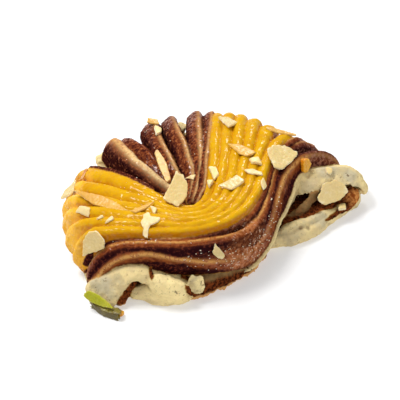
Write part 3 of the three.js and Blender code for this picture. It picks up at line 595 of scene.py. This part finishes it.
def read(items, field, width=1, kind=int):
    """A field of a mesh's vertices, edges, faces or corners."""
    values = np.zeros(len(items) * width, kind)
    items.foreach_get(field, values)
    return values if width == 1 else values.reshape(-1, width)


def noise_at(points, scale, offset=(0, 0, 0)):
    """Smooth noise at each point, with lumps about as wide as scale."""
    return np.array([noise.noise(Vector(p) / scale + Vector(offset)) for p in points])


def set_points(mesh, points):
    mesh.vertices.foreach_set("co", points.astype(np.float32).ravel())


def store(mesh, name, kind, values):
    """Keeps a value for each point, which the materials read by name."""
    field = {"FLOAT_COLOR": "color", "FLOAT_VECTOR": "vector", "FLOAT": "value"}[kind]
    layer = mesh.attributes.new(name, kind, "POINT")
    layer.data.foreach_set(field, values.astype(np.float32).ravel())


def fused(name, mesh, voxel):
    """The mesh's closed shells joined to one skin of small squares: its points, faces and edges."""
    holder = new_object(name + "_shells", mesh)
    remesh = holder.modifiers.new("fuse", "REMESH")
    remesh.mode = "VOXEL"
    remesh.voxel_size = voxel
    remesh.adaptivity = 0
    graph = bpy.context.evaluated_depsgraph_get()
    result = holder.evaluated_get(graph).to_mesh()
    points = read(result.vertices, "co", 3, float)
    corners = read(result.loops, "vertex_index")
    starts = read(result.polygons, "loop_start")
    edges = read(result.edges, "vertices", 2)
    bpy.data.objects.remove(holder)
    bpy.data.meshes.remove(mesh)
    return points, [face.tolist() for face in np.split(corners, starts[1:])], edges


def averaged(values, edges, rounds, share=0.5):
    """values smoothed over neighbouring points."""
    values = values.astype(float)
    degree = np.bincount(edges.ravel(), minlength=len(values)).astype(float)[:, None]
    flat = values.reshape(len(values), -1)
    for _ in range(rounds):
        total = np.zeros_like(flat)
        for k in range(flat.shape[1]):
            total[:, k] += np.bincount(edges[:, 0], flat[edges[:, 1], k], len(flat))
            total[:, k] += np.bincount(edges[:, 1], flat[edges[:, 0], k], len(flat))
        flat = flat * (1 - share) + total / np.maximum(degree, 1) * share
    return flat.reshape(values.shape)


def shell_values_at(points, shell):
    """The kind and the marks of the shell where it is nearest to each point."""
    source = np.vstack(shell.points)
    tree = BVHTree.FromPolygons(source.tolist(), shell.faces)
    # four corners of each face; the flat ends of a loft have more
    corners = np.array([[f[len(f) * k // 4] for k in range(4)] for f in shell.faces])
    corners = corners[[tree.find_nearest(p)[2] for p in points]]
    apart = norm(source[corners] - points[:, None, :], axis=2)
    weights = 1 / np.maximum(apart, 0.02) ** 2
    weights /= weights.sum(1)[:, None]
    kinds = np.concatenate(shell.kinds)[corners[:, 0]]
    return kinds, np.einsum("ij,ijk->ik", weights, np.vstack(shell.marks)[corners])


def build_pastry():
    shell = pastry_shell()
    shells = mesh_from_arrays("pastry_shells", np.vstack(shell.points), shell.faces)
    points, faces, edges = fused("pastry", shells, VOXEL)
    points = averaged(points, edges, 2, 0.4)
    kinds, marks = shell_values_at(points, shell)
    kind_share = averaged(np.eye(4)[kinds], edges, 1)
    marks[:, :5] = averaged(marks[:, :5], edges, 1)

    broad = averaged(points, edges, 24)
    mesh = mesh_from_arrays("pastry_crust", points * MM, faces)
    normals = read(mesh.vertices, "normal", 3, np.float32)
    # hollow: how far a point lies below the smoothed skin; the crust's painted crevice shade reads it
    hollow = np.einsum("ij,ij->i", broad - points, normals)

    relief = kind_share @ RELIEF
    move = noise_at(points, 2.2) * relief[:, 0] + noise_at(points, 0.9, (9, 0, 0)) * relief[:, 1]
    points = points + normals * move[:, None]
    points[:, 2] = np.maximum(points[:, 2], 0)
    points -= PASTRY_CENTRE
    set_points(mesh, points * MM)

    store(mesh, "region", "FLOAT_COLOR", np.column_stack([kind_share[:, 1:], hollow]))
    store(mesh, "tones", "FLOAT_COLOR", marks[:, :4])
    store(mesh, "place", "FLOAT_VECTOR", np.column_stack([marks[:, 4:6], points[:, 2]]))
    mesh.shade_smooth()
    pastry = new_object("pastry_crust", mesh)
    return pastry, points, normals, BVHTree.FromPolygons(points.tolist(), faces)


# ---- material helpers ----
def srgb(red, green, blue):
    """0-255 screen colour to the linear colour that shaders use."""
    def linear(c):
        c /= 255
        return c / 12.92 if c <= 0.04045 else ((c + 0.055) / 1.055) ** 2.4
    return (linear(red), linear(green), linear(blue), 1)


class Nodes:
    """A short way to write a material's node tree."""

    def __init__(self, name):
        self.material = bpy.data.materials.new(name)
        self.material.use_nodes = True
        self.tree = self.material.node_tree
        self.shader = self.tree.nodes["Principled BSDF"]

    def add(self, kind, inputs=None, **settings):
        node = self.tree.nodes.new(kind)
        for key, value in settings.items():
            setattr(node, key, value)
        for key, value in (inputs or {}).items():
            self.set(node.inputs[key], value)
        return node

    def set(self, socket, value):
        if isinstance(value, bpy.types.NodeSocket):
            self.tree.links.new(value, socket)
        else:
            socket.default_value = value

    def shade(self, **values):
        """Sets the shader's inputs, with _ for spaces in their names."""
        for name, value in values.items():
            self.set(self.shader.inputs[name.replace("_", " ")], value)

    def math(self, operation, *values, clamp=False):
        node = self.add("ShaderNodeMath", operation=operation, use_clamp=clamp)
        for socket, value in zip(node.inputs, values):
            self.set(socket, value)
        return node.outputs[0]

    def times(self, first, second):
        return self.math("MULTIPLY", first, second)

    def between(self, value, low, high, to_low=0, to_high=1):
        """to_low where value is low, to_high where it is high, and smooth in between."""
        limits = {"From Min": low, "From Max": high, "To Min": to_low, "To Max": to_high}
        node = self.add("ShaderNodeMapRange", {"Value": value, **limits}, interpolation_type="SMOOTHSTEP")
        return node.outputs[0]

    def layered(self, colour, *layers):
        """A colour with others over it, each given with its share. Colours are sockets or 0-255 values."""
        for share, tone in layers:
            under, over = (c if isinstance(c, bpy.types.NodeSocket) else srgb(*c) for c in (colour, tone))
            node = self.add("ShaderNodeMix", {0: share, 6: under, 7: over}, data_type="RGBA")
            colour = node.outputs[2]
        return colour

    def noise(self, scale, detail, where=None, rough=0.55):
        node = self.add("ShaderNodeTexNoise", {"Scale": scale, "Detail": detail, "Roughness": rough})
        self.set(node.inputs["Vector"], where if where is not None else self.object_place())
        return node.outputs["Fac"]

    def object_place(self):
        return self.add("ShaderNodeTexCoord").outputs["Object"]

    def near(self, centre, radius):
        """1 round a place given in the source frame, falling to 0 with a ragged border."""
        ends = {0: self.object_place(), 1: tuple((np.array(centre) - PASTRY_CENTRE) * MM)}
        node = self.add("ShaderNodeVectorMath", ends, operation="DISTANCE")
        ragged = self.math("MULTIPLY_ADD", self.noise(280, 5, rough=0.7), radius * MM, -0.5 * radius * MM)
        reach = self.math("ADD", node.outputs["Value"], ragged)
        return self.between(reach, radius * MM, 0.45 * radius * MM)

    def bump(self, height, strength, distance):
        node = self.add("ShaderNodeBump", {"Strength": strength, "Distance": distance, "Height": height})
        self.shade(Normal=node.outputs[0])


# ---- crust material ----
class Crust(Nodes):
    """The crust's node tree, with what the mesh stores for each point and the noises its colours share."""

    def __init__(self):
        super().__init__("baked_dough")
        region = self.add("ShaderNodeAttribute", attribute_name="region")
        self.brown, self.cream, self.filling = self.parts(region, "Color", "ShaderNodeSeparateColor")
        hollow = region.outputs["Alpha"]
        tones = self.add("ShaderNodeAttribute", attribute_name="tones")
        # tones: pale line (partly paler dough, partly painted highlight), flank (partly darker dough,
        # partly painted shade), toasting and grey specks
        self.pale_line, self.flank, self.toast = self.parts(tones, "Color", "ShaderNodeSeparateColor")
        self.grey = tones.outputs["Alpha"]
        place = self.add("ShaderNodeAttribute", attribute_name="place")
        across, along, self.height = self.parts(place, "Vector", "ShaderNodeSeparateXYZ")
        self.fine = self.noise(1400, 3)
        self.speck = self.noise(750, 5, rough=0.7)
        self.patch = self.noise(160, 4)
        # streaks run along a strand: fine across it, long along it
        stretched = {0: self.times(across, 2.4), 1: self.times(along, 0.16)}
        self.streak = self.noise(1.6, 4, self.add("ShaderNodeCombineXYZ", stretched).outputs[0])
        # painted shade: the crust darkens where the surface lies in a hollow, most in deep crevices
        self.crevice_shade = self.between(hollow, 0.05, 0.75)
        self.deep_crevice_shade = self.between(hollow, 0.4, 1.1)

    def parts(self, attribute, field, kind):
        """The three parts of a stored colour or vector."""
        node = self.add(kind, {field: attribute.outputs[field]})
        return (node.outputs[i] for i in range(3))


def yellow_dough(n):
    """The middle strands: toasted and scorched near their tips, with painted shade down their flanks and in
    their crevices.
    """
    scorched = n.between(n.noise(380, 5, rough=0.7), 0.56, 0.64, 0, 0.75)
    return n.layered(
        (206, 156, 14),
        (n.between(n.patch, 0.35, 0.7), (198, 142, 12)),
        (n.between(n.streak, 0.5, 0.75, 0, 0.45), (218, 172, 26)),
        (n.times(n.toast, n.between(n.patch, 0.25, 0.6, 0.3, 0.75)), (208, 132, 36)),
        (n.times(n.toast, scorched), (156, 82, 26)),
        # painted shade down the flanks
        (n.times(n.flank, 0.75), (180, 102, 6)),
        # painted shade in the crevices between the strands
        (n.times(n.crevice_shade, 0.85), (144, 70, 6)),
        (n.deep_crevice_shade, (72, 30, 6)),
        # painted light: paler left tips
        *((n.times(n.near(tip, 12), 0.7), (240, 184, 62)) for tip in LIT_LEFT_TIPS),
    )


def brown_face(n):
    """The open face of a brown strand: streaked, with light and dark specks."""
    return n.layered(
        (106, 44, 20),
        (n.between(n.streak, 0.35, 0.7), (150, 76, 32)),
        (n.times(n.grey, 0.55), (82, 34, 22)),
        (n.times(n.between(n.speck, 0.52, 0.62), n.between(n.grey, 0, 1, 0.3, 0.7)), (176, 102, 48)),
        (n.times(n.between(n.speck, 0.48, 0.4), n.between(n.grey, 0, 1, 0.4, 0.9)), (48, 17, 18)),
    )


def brown_flank(n):
    """Its flank, almost black with lighter crumbs: partly the darker cocoa, partly painted shade."""
    return n.layered(
        (42, 14, 18),
        (n.between(n.speck, 0.5, 0.66), (104, 48, 34)),
        (n.times(n.grey, n.between(n.patch, 0.4, 0.65, 0, 0.5)), (96, 42, 26)),
        (n.times(n.grey, n.between(n.speck, 0.55, 0.64, 0, 0.7)), (176, 112, 74)),
    )


def brown_ridge(n):
    """The pale line along its crest: partly a paler dough layer, partly painted highlight."""
    return n.layered(
        (218, 162, 90),
        (n.between(n.speck, 0.47, 0.63), (150, 84, 40)),
        (n.times(n.grey, 0.4), (150, 92, 50)),
        (n.times(n.toast, n.between(n.speck, 0.6, 0.4, 0.5, 1)), (232, 204, 148)),
    )


def brown_dough(n):
    """The cocoa strands, with darker ends, a rusty bend with sugar and painted glints on it, and painted
    shade in their crevices.
    """
    grain = n.layered((78, 36, 34), (n.between(n.speck, 0.45, 0.62), (164, 114, 94)))
    rust = n.layered((124, 62, 28), (n.between(n.speck, 0.42, 0.6), (190, 122, 74)))
    bend = n.near(BEND, 15)
    open_face = n.math("SUBTRACT", 1, n.times(n.flank, 0.55))
    # sugar crystals at the bend, with painted glints among them
    frost_and_glints = n.times(bend, n.between(n.noise(520, 5, rough=0.75), 0.56, 0.64))
    return n.layered(
        brown_face(n),
        # the flanks: darker cocoa with painted shade
        (n.times(n.flank, n.between(n.patch, 0.2, 0.5, 0.8, 1)), brown_flank(n)),
        # the pale line: partly paler dough, partly painted highlight
        (n.times(n.pale_line, n.between(n.patch, 0.2, 0.5, 0.7, 1)), brown_ridge(n)),
        *((n.times(n.near(end, 17), share), grain) for end, share in DARK_ENDS),
        (n.times(n.times(bend, open_face), 0.7), rust),
        (n.times(frost_and_glints, 0.75), (224, 190, 164)),
        # painted shade in the crevices
        (n.crevice_shade, (18, 6, 6)),
    )


def cream_dough(n):
    """The sheet and its folds: painted light on its front, grey patches, stains, brown and dark specks,
    painted shade in crevices.
    """
    return n.layered(
        (230, 208, 150),
        (n.between(n.patch, 0.35, 0.7), (212, 190, 142)),
        (n.between(n.noise(90, 4), 0.5, 0.66, 0, 0.6), (176, 162, 132)),
        # painted light: paler spots on the sheet's front
        *((n.times(n.near(*spot), 0.8), (250, 228, 166)) for spot in PAINTED_LIGHT_SPOTS),
        *((n.times(n.near(*spot), 0.7), (188, 178, 150)) for spot in GREYED),
        *((n.times(n.near(*spot), 0.8), (112, 88, 66)) for spot in STAINS),
        (n.between(n.speck, 0.55, 0.7, 0, 0.7), (158, 136, 96)),
        (n.between(n.noise(420, 5, rough=0.65), 0.62, 0.68, 0, 0.8), (84, 60, 42)),
        # painted shade in the sheet's crevices and folds
        (n.times(n.crevice_shade, 0.8), (116, 82, 46)),
    )


def filling_crumb(n):
    """The filling: dark crumbs, paler at the board, at the right end and where it is greyed."""
    spilt = n.layered((134, 66, 26), (n.between(n.speck, 0.4, 0.6), (206, 138, 74)))
    return n.layered(
        (46, 18, 10),
        (n.between(n.speck, 0.4, 0.62), (124, 62, 28)),
        (n.between(n.height, 2.9, 1.5), (212, 160, 100)),
        (n.near(OPEN_END, 6), spilt),
        (n.times(n.grey, n.between(n.patch, 0.2, 0.6, 0.5, 1)), (140, 112, 72)),
    )


def crust_material():
    n = Crust()
    colour = n.layered(
        yellow_dough(n),
        (n.brown, brown_dough(n)),
        (n.cream, cream_dough(n)),
        (n.filling, filling_crumb(n)),
    )
    matt = n.math("MAXIMUM", n.cream, n.filling)
    glaze = n.between(n.noise(500, 3), 0.35, 0.7, 0.26, 0.5)
    wet = n.math("SUBTRACT", 1, n.math("MAXIMUM", n.times(n.brown, n.flank), matt), clamp=True)
    n.shade(
        Base_Color=colour,
        Roughness=n.math("ADD", glaze, n.times(matt, 0.38), clamp=True),
        Coat_Weight=n.times(wet, n.between(n.speck, 0.45, 0.6, 0.05, 0.6)),
        Coat_Roughness=0.12,
        Specular_IOR_Level=0,
        Subsurface_Weight=0.06,
        Subsurface_Radius=(0.002, 0.001, 0.0005),
        Subsurface_Scale=1,
    )
    relief = n.math("ADD", n.times(n.fine, 0.5), n.times(n.speck, n.math("ADD", 0.5, matt)))
    n.bump(relief, 0.5, 0.00035)
    return n.material


# ---- toppings ----
# heart, edge and fleck are the colours in the middle, at the rim and of scattered spots; a piece curls
# up towards its rim, has a ragged outline and drapes over the bumps below it
Look = namedtuple("Look", "slot heart edge fleck fleck_scale roughness voxel curl ragged drape")
LOOKS = {  # by how the names of the pieces start
    "almond_flake": Look(
        "almond", (214, 188, 126), (236, 222, 186), (204, 168, 108), 900, 0.24, 0.24, 0.5, 0.3, 0.25),
    "toasted_flake": Look(
        "toasted_almond", (212, 160, 68), (228, 192, 112), (196, 126, 48), 900, 0.32, 0.22, 0.4, 0.25, 0.5),
    "almond_sliver": Look(
        "toasted_almond", (226, 190, 122), (188, 106, 40), (150, 74, 30), 900, 0.38, 0.22, 0.6, 0.25, 0.3),
    "nut_chip": Look(
        "almond", (230, 204, 140), (238, 222, 182), (208, 172, 104), 900, 0.4, 0.2, 0.1, 0.4, 0.6),
    "coconut_shred": Look(
        "coconut", (228, 200, 142), (242, 228, 196), (200, 166, 100), 900, 0.42, 0.18, 0.3, 0.6, 0.8),
    "candied_peel": Look(
        "peel", (220, 160, 30), (206, 128, 20), (236, 200, 96), 900, 0.26, 0.22, 0.1, 0.3, 0),
    "pistachio_sliver": Look(
        "pistachio", (166, 166, 22), (196, 190, 76), (118, 108, 20), 900, 0.36, 0.22, 0.4, 0.35, 0),
    "pistachio": Look(
        "pistachio", (92, 78, 24), (134, 122, 52), (226, 216, 178), 420, 0.4, 0.2, 0, 2.2, 0),
}
UNBENT = {  # these lie flat on the crust as they are
    "almond_flake_1", "almond_flake_4", "almond_flake_5", "almond_flake_6", "almond_flake_7",
    "almond_flake_8", "toasted_flake_2", "toasted_flake_5",
}


def nut_material(name, look):
    n = Nodes(name)
    patch = n.noise(260, 4)
    vein = n.noise(look.fleck_scale, 4, rough=0.7)
    rim = n.add("ShaderNodeAttribute", attribute_name="rim").outputs["Fac"]
    to_edge = n.math("ADD", n.between(rim, 0.25, 0.95), n.between(patch, 0.4, 0.7, -0.3, 0.3), clamp=True)
    flecked = n.between(vein, 0.62, 0.74, 0, 0.7)
    n.shade(
        Base_Color=n.layered(look.heart, (to_edge, look.edge), (flecked, look.fleck)),
        Roughness=n.between(vein, 0.3, 0.7, look.roughness - 0.1, look.roughness + 0.12),
        Subsurface_Weight=0.25,
        Subsurface_Radius=(0.003, 0.002, 0.001),
        Subsurface_Scale=1,
    )
    n.bump(vein, 0.35, 0.0002)
    return n.material


def settled(points, under, drape, crust):
    """How far up each point moves so that the piece lies bent over the bumps of the crust below it."""
    x, y = (points[:, :2] - points[:, :2].mean(0)).T
    terms = np.column_stack([np.ones(len(x)), x, y, x * x, x * y, y * y])
    chosen = np.flatnonzero(under)[::3]
    hits = [(i, crust.ray_cast(Vector((*points[i, :2], 80)), Vector((0, 0, -1)))[0]) for i in chosen]
    chosen = np.array([i for i, spot in hits if spot is not None])
    gaps = np.array([spot.z for _, spot in hits if spot is not None]) - points[chosen, 2]
    stiffness = np.full(6, 0.02 * len(chosen)) * [0, 1, 1, 4, 4, 4]
    normal = terms[chosen].T @ terms[chosen] + np.diag(stiffness)
    bend = drape * (terms @ np.linalg.solve(normal, terms[chosen].T @ (gaps - gaps.mean())))
    return bend + np.percentile(gaps - bend[chosen], 80)


def build_topping(node, look, material, number, crust):
    """The CAD piece as a nut slice: outline worn and ragged, faces curled, laid on the crust."""
    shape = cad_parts[node].data.copy()
    co = read(shape.vertices, "co", 3, float) / MM
    set_points(shape, co)
    centre = co.mean(0)
    _, turn = np.linalg.eigh(np.cov((co - centre).T))
    flat = turn[:, 0] * (1 if turn[2, 0] > 0 else -1)
    points, faces, edges = fused(node, shape, look.voxel)
    worn = averaged(points, edges, 40)
    through = (worn - points) @ flat
    points = worn - flat * (0.6 * through)[:, None]
    away = points - centre
    level = away - (away @ flat)[:, None] * flat
    radius = norm(level, axis=1)
    share = radius / radius.max()
    offset = (number * 5.1, number * 2.3, 0)
    notches = 0.45 * noise_at(level, 1.9, offset) + 0.2 * noise_at(level, 0.6, offset)
    points += level * (0.09 + share * look.ragged * notches)[:, None]
    points += flat * (look.curl * share**2)[:, None]
    mesh = mesh_from_arrays(node + "_look", points * MM, faces)
    normals = read(mesh.vertices, "normal", 3, np.float32)
    facing = normals @ flat
    points = points + normals * (0.14 * noise_at(points, 1.1, offset))[:, None]
    if look.drape and node not in UNBENT:
        points[:, 2] += settled(points, facing < -0.5, look.drape, crust)
    points[:, 2] = np.maximum(points[:, 2], 0)
    set_points(mesh, points * MM)
    store(mesh, "rim", "FLOAT", np.maximum(1 - np.abs(facing), 0.7 * share**2))
    mesh.shade_smooth()
    mesh.materials.append(material)
    piece = new_object(node + "_look", mesh)
    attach(piece, "root")
    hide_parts(node)


def build_toppings(crust):
    """Every topping; returns their materials by how the names of the pieces start."""
    materials = {kind: nut_material(kind, look) for kind, look in LOOKS.items()}
    for number, node in enumerate(sorted(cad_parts)):
        kind = next((k for k in LOOKS if node.startswith(k)), None)
        if kind:
            build_topping(node, LOOKS[kind], materials[kind], number, crust)
    return materials


def build_grains(points, normals, material):
    """Crumbs of sugar and nut on the crust: many at the bend, few elsewhere."""
    dice = random.Random(5)
    ridge = np.array([row[1] for row in OUTER_BAND[7:15]]) - PASTRY_CENTRE
    apart = norm(points[:, None, :] - ridge[None], axis=2).min(1)
    outside = normals @ np.array([0.4, -0.6, 0.7])
    bend = np.flatnonzero((apart < 5.5) & (outside > 0.4) & (points[:, 2] > 8))
    upper = np.flatnonzero((normals[:, 2] > 0.6) & (points[:, 2] > 17))
    spots = [(i, dice.uniform(0.12, 0.38)) for i in dice.sample(bend.tolist(), GRAINS_AT_BEND)]
    spots += [(i, dice.uniform(0.12, 0.32)) for i in dice.sample(upper.tolist(), GRAINS_ON_TOP)]
    verts, faces = [], []
    for i, size in spots:
        turn = dice.uniform(0, math.pi)
        stretch = dice.uniform(0.7, 1.8)
        cos, sin = math.cos(turn), math.sin(turn)
        base = len(verts)
        for dx, dy, dz in ((1, 0, 0), (0, 1, 0), (-1, 0, 0), (0, -1, 0), (0, 0, 1), (0, 0, -1)):
            x, y, z = (d * size * dice.uniform(0.7, 1.2) for d in (dx * stretch, dy, dz * 0.8))
            spot = np.array([x * cos - y * sin, x * sin + y * cos, z])
            verts.append(points[i] + spot + normals[i] * size * 0.4)
        for k in range(4):
            faces.append([base + k, base + (k + 1) % 4, base + 4])
            faces.append([base + (k + 1) % 4, base + k, base + 5])
    mesh = mesh_from_arrays("grains", np.array(verts) * MM, faces)
    store(mesh, "rim", "FLOAT", np.ones(len(verts)))
    mesh.materials.append(material)
    grains = new_object("grains", mesh)
    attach(grains, "root")


# ---- stage ----
def stage():
    bpy.ops.mesh.primitive_plane_add(size=4)
    floor = bpy.context.object
    floor.name = "floor"
    n = Nodes("floor_white")
    n.shade(Base_Color=(0.6, 0.6, 0.6, 1), Roughness=0.9)
    n.shade(Emission_Color=(1, 1, 1, 1), Emission_Strength=0.36)
    floor.data.materials.append(n.material)
    world = bpy.data.worlds.new("studio")
    world.use_nodes = True
    background = world.node_tree.nodes["Background"]
    background.inputs["Color"].default_value = (1, 1, 1, 1)
    background.inputs["Strength"].default_value = 0.40
    bpy.context.scene.world = world
    area_light("key", (-0.28, 0.05, 0.6), 0.25, 3.9)
    area_light("fill", (0.45, -0.4, 0.35), 0.5, 1.1)
    area_light("back", (0.1, 0.55, 0.4), 0.2, 1.6)


def area_light(name, place, size, power):
    """A square light that shines on the pastry."""
    data = bpy.data.lights.new(name, "AREA")
    data.size = size
    data.energy = power
    light = new_object(name, data)
    light.location = place
    light.rotation_euler = (-Vector(place)).to_track_quat("-Z", "Y").to_euler()


def camera():
    elevation = math.radians(40)
    distance = 0.62
    aim = Vector((-0.0064, -0.0081, 0.0183))
    data = bpy.data.cameras.new("camera")
    data.sensor_width = 36
    data.lens = 139.5
    cam = new_object("camera", data)
    cam.location = aim + distance * Vector((0, -math.cos(elevation), math.sin(elevation)))
    cam.rotation_euler = (math.pi / 2 - elevation, 0, 0)
    bpy.context.scene.camera = cam


camera()
stage()
pastry, crust_points, crust_normals, crust_tree = build_pastry()
pastry.data.materials.append(crust_material())
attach(pastry, "root")
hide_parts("pastry")
topping_materials = build_toppings(crust_tree)
build_grains(crust_points, crust_normals, topping_materials["coconut_shred"])
bpy.context.scene.view_settings.view_transform = "Standard"
